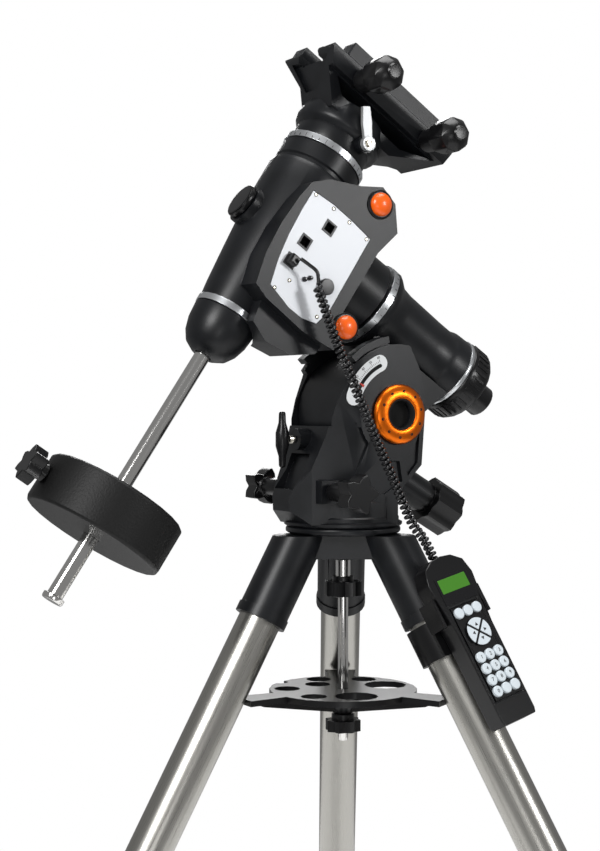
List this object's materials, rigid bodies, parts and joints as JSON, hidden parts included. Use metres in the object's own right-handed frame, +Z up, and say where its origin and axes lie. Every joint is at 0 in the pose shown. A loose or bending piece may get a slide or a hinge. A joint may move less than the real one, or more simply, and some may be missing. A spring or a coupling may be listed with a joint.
{
  "type": "equatorial mount",
  "caption": "Computerised German equatorial telescope mount on a steel-legged tripod, with counterweight, saddle, hand controller and curly cord.",
  "frame": {"origin": "floor level, centre of the bounding box of the mount without its cord", "axes": "+Z up, -X toward the pole (north), -Y west, the side with the control panel"},
  "size_m": [0.8156, 0.9338, 1.385],
  "materials": {
    "black_paint": "satin powder coat with a fine grain",
    "black_plastic": "moulded, satin",
    "rubber": "matt",
    "stainless": "brushed along the tube",
    "chrome": "polished",
    "aluminium": "satin turned",
    "panel": "silver-white satin",
    "orange": "anodised, satin",
    "keys": "soft-touch keys",
    "brass": "machined"
  },
  "bodies": {
    "tripod": {"tripod_hub": "black_paint", "spreader_tray": "black_plastic", "controller_bracket": "black_plastic", "hand_controller": "black_plastic", "cord_coil": "rubber", "leg_top_north": "black_paint", "leg_tube_north": "stainless", "leg_clamp_north": "black_paint", "leg_top_west": "black_paint", "leg_tube_west": "stainless", "leg_clamp_west": "black_paint", "leg_top_east": "black_paint", "leg_tube_east": "stainless", "leg_clamp_east": "black_paint"},
    "centre_rod": {"centre_rod": "chrome", "mounting_knob": "black_plastic"},
    "spreader_knob": {"spreader_knob": "black_plastic"},
    "keypad": {"keypad": "keys"},
    "azimuth": {"azimuth_base": "black_paint"},
    "azimuth_knob_west": {"azimuth_knob_west": "black_plastic"},
    "azimuth_knob_east": {"azimuth_knob_east": "black_plastic"},
    "latitude_front_handle": {"latitude_front_handle": "black_plastic"},
    "latitude_rear_knob": {"latitude_rear_knob": "black_plastic"},
    "altitude": {"polar_housing": "black_paint", "altitude_ring_west": "orange", "altitude_ring_east": "orange", "polar_rear_cover": "black_plastic"},
    "polar_rear_cap": {"polar_rear_cap": "black_plastic"},
    "polar": {"dec_housing": "black_paint", "control_panel": "panel", "polar_shaft": "stainless", "polar_worm_wheel": "brass", "polar_index_ring": "aluminium", "motor_cap_upper": "orange", "motor_cap_lower": "orange", "dec_lower_ring": "aluminium", "bar_cone": "black_paint", "counterweight_bar": "chrome", "bar_end_stop": "chrome", "cord_plug": "black_plastic", "cord_lead": "rubber"},
    "polar_front_cap": {"polar_front_cap": "black_plastic"},
    "polar_clutch_lever": {"polar_clutch_lever": "aluminium"},
    "declination": {"dec_head": "black_paint", "dec_index_ring": "aluminium"},
    "dec_clutch_lever": {"dec_clutch_lever": "aluminium"},
    "saddle_jaw": {"saddle_jaw": "black_paint"},
    "saddle_knob_front": {"saddle_knob_front": "black_plastic"},
    "saddle_knob_rear": {"saddle_knob_rear": "black_plastic"},
    "counterweight": {"counterweight": "black_paint"},
    "counterweight_knob": {"counterweight_knob": "black_plastic"},
    "lower_leg_north": {"lower_leg_north": "stainless", "foot_north": "rubber"},
    "leg_lock_knob_north": {"leg_lock_knob_north": "black_plastic"},
    "lower_leg_west": {"lower_leg_west": "stainless", "foot_west": "rubber"},
    "leg_lock_knob_west": {"leg_lock_knob_west": "black_plastic"},
    "lower_leg_east": {"lower_leg_east": "stainless", "foot_east": "rubber"},
    "leg_lock_knob_east": {"leg_lock_knob_east": "black_plastic"}
  },
  "joints": [
    {"name": "leg_extension_north", "type": "slide", "parent": "tripod", "child": "lower_leg_north", "axis": [-0.4909, 0, -0.8712], "range_m": [-0.19, 0.19]},
    {"name": "leg_lock_north", "type": "hinge", "parent": "tripod", "child": "leg_lock_knob_north", "pos_m": [-0.24467, 0, 0.23572], "axis": [-0.8712, 0, 0.4909], "range_deg": [0, 720]},
    {"name": "leg_extension_west", "type": "slide", "parent": "tripod", "child": "lower_leg_west", "axis": [0.2455, -0.4251, -0.8712], "range_m": [-0.19, 0.19]},
    {"name": "leg_lock_west", "type": "hinge", "parent": "tripod", "child": "leg_lock_knob_west", "pos_m": [0.31389, -0.32248, 0.23572], "axis": [0.4356, -0.7545, 0.4909], "range_deg": [0, 720]},
    {"name": "leg_extension_east", "type": "slide", "parent": "tripod", "child": "lower_leg_east", "axis": [0.2455, 0.4251, -0.8712], "range_m": [-0.19, 0.19]},
    {"name": "leg_lock_east", "type": "hinge", "parent": "tripod", "child": "leg_lock_knob_east", "pos_m": [0.31389, 0.32248, 0.23572], "axis": [0.4356, 0.7545, 0.4909], "range_deg": [0, 720]},
    {"name": "mounting_screw", "type": "hinge", "parent": "tripod", "child": "centre_rod", "pos_m": [0.1277, 0, 0.72], "axis": [0, 0, 1], "range_deg": [0, 1080]},
    {"name": "spreader_screw", "type": "hinge", "parent": "tripod", "child": "spreader_knob", "pos_m": [0.1277, 0, 0.56], "axis": [0, 0, 1], "range_deg": [0, 1080]},
    {"name": "keypad_press", "type": "slide", "parent": "tripod", "child": "keypad", "axis": [-0.0288, 0.8951, -0.4449], "range_m": [0, 0.0006], "stiffness_N_per_m": 1500},
    {"name": "azimuth_turn", "type": "hinge", "parent": "tripod", "child": "azimuth", "pos_m": [0.1277, 0, 0.8], "axis": [0, 0, 1], "range_deg": [-7, 7], "deforming": ["cord_coil", "cord_lead"]},
    {"name": "azimuth_screw_west", "type": "hinge", "parent": "azimuth", "child": "azimuth_knob_west", "pos_m": [0.0777, -0.112, 0.844], "axis": [0, -1, 0], "range_deg": [-1080, 1080]},
    {"name": "azimuth_screw_east", "type": "hinge", "parent": "azimuth", "child": "azimuth_knob_east", "pos_m": [0.0777, 0.112, 0.844], "axis": [0, 1, 0], "range_deg": [-1080, 1080]},
    {"name": "latitude_front_screw", "type": "hinge", "parent": "azimuth", "child": "latitude_front_handle", "pos_m": [0.0427, 0, 0.905], "axis": [-1, 0, 0], "range_deg": [-720, 720]},
    {"name": "latitude_rear_screw", "type": "hinge", "parent": "azimuth", "child": "latitude_rear_knob", "pos_m": [0.2646, 0, 0.819], "axis": [0.866, 0, -0.5], "range_deg": [-1080, 1080]},
    {"name": "altitude_tilt", "type": "hinge", "parent": "azimuth", "child": "altitude", "pos_m": [0.1657, 0, 0.935], "axis": [0, 1, 0], "range_deg": [-19, 35], "deforming": ["cord_coil", "cord_lead"]},
    {"name": "polar_rear_cap_turn", "type": "hinge", "parent": "altitude", "child": "polar_rear_cap", "pos_m": [0.32306, 0, 0.95803], "axis": [0.8271, 0, -0.5621], "range_deg": [0, 720]},
    {"name": "right_ascension_turn", "type": "hinge", "parent": "altitude", "child": "polar", "pos_m": [0.03771, 0, 1.15195], "axis": [-0.8271, 0, 0.5621], "range_deg": [-95, 95], "deforming": ["cord_coil", "cord_lead"]},
    {"name": "polar_front_cap_pull", "type": "slide", "parent": "polar", "child": "polar_front_cap", "axis": [-0.8271, 0, 0.5621], "range_m": [0, 0.03]},
    {"name": "polar_clutch_turn", "type": "hinge", "parent": "polar", "child": "polar_clutch_lever", "pos_m": [0.13531, 0.06, 1.08563], "axis": [0, 1, 0], "range_deg": [-30, 30]},
    {"name": "declination_turn", "type": "hinge", "parent": "polar", "child": "declination", "pos_m": [0.03771, 0, 1.15195], "axis": [0.5621, 0, 0.8271], "range_deg": [-180, 180]},
    {"name": "dec_clutch_turn", "type": "hinge", "parent": "declination", "child": "dec_clutch_lever", "pos_m": [0.12518, -0.06, 1.25574], "axis": [0, -1, 0], "range_deg": [-30, 30]},
    {"name": "saddle_jaw_slide", "type": "slide", "parent": "declination", "child": "saddle_jaw", "axis": [0, -1, 0], "range_m": [-0.004, 0.006]},
    {"name": "saddle_screw_front", "type": "hinge", "parent": "declination", "child": "saddle_knob_front", "pos_m": [0.11639, -0.1, 1.32821], "axis": [0, -1, 0], "range_deg": [-1080, 1080]},
    {"name": "saddle_screw_rear", "type": "hinge", "parent": "declination", "child": "saddle_knob_rear", "pos_m": [0.20902, -0.1, 1.26526], "axis": [0, -1, 0], "range_deg": [-1080, 1080]},
    {"name": "counterweight_slide", "type": "slide", "parent": "polar", "child": "counterweight", "axis": [0.5621, 0, 0.8271], "range_m": [-0.074, 0.18]},
    {"name": "counterweight_lock", "type": "hinge", "parent": "counterweight", "child": "counterweight_knob", "pos_m": [-0.2687, 0, 0.87898], "axis": [-0.8271, 0, 0.5621], "range_deg": [0, 720]}
  ]
}
